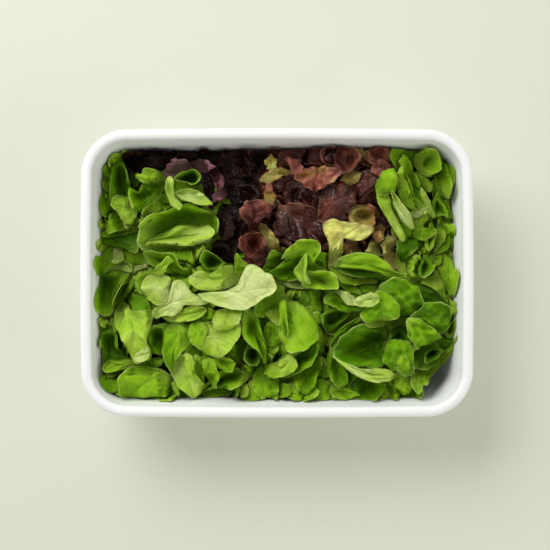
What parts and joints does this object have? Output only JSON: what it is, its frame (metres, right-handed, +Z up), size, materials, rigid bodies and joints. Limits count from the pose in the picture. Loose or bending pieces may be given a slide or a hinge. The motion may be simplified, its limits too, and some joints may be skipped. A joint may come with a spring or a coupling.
{
  "type": "box of mixed salad greens",
  "caption": "Open rounded tub with drafted walls and a half-round rim, filled with heaps of green, dark red and bronze lettuce leaves.",
  "frame": {"origin": "middle of the flat underside of the tub", "axes": "+Z up, +X to the right along the tub's length, +Y towards the side with the red leaves"},
  "size_m": [0.3698, 0.2718, 0.0919],
  "materials": {
    "tub_plastic": "satin, opaque white",
    "green_leaf": "fresh leaf, soft sheen",
    "dark_red_leaf": "fresh leaf, soft sheen",
    "bronze_leaf": "fresh leaf, soft sheen"
  },
  "bodies": {
    "root": {"box": "tub_plastic", "green_leaves": "green_leaf", "dark_red_leaves": "dark_red_leaf", "bronze_leaves": "bronze_leaf"}
  },
  "joints": []
}
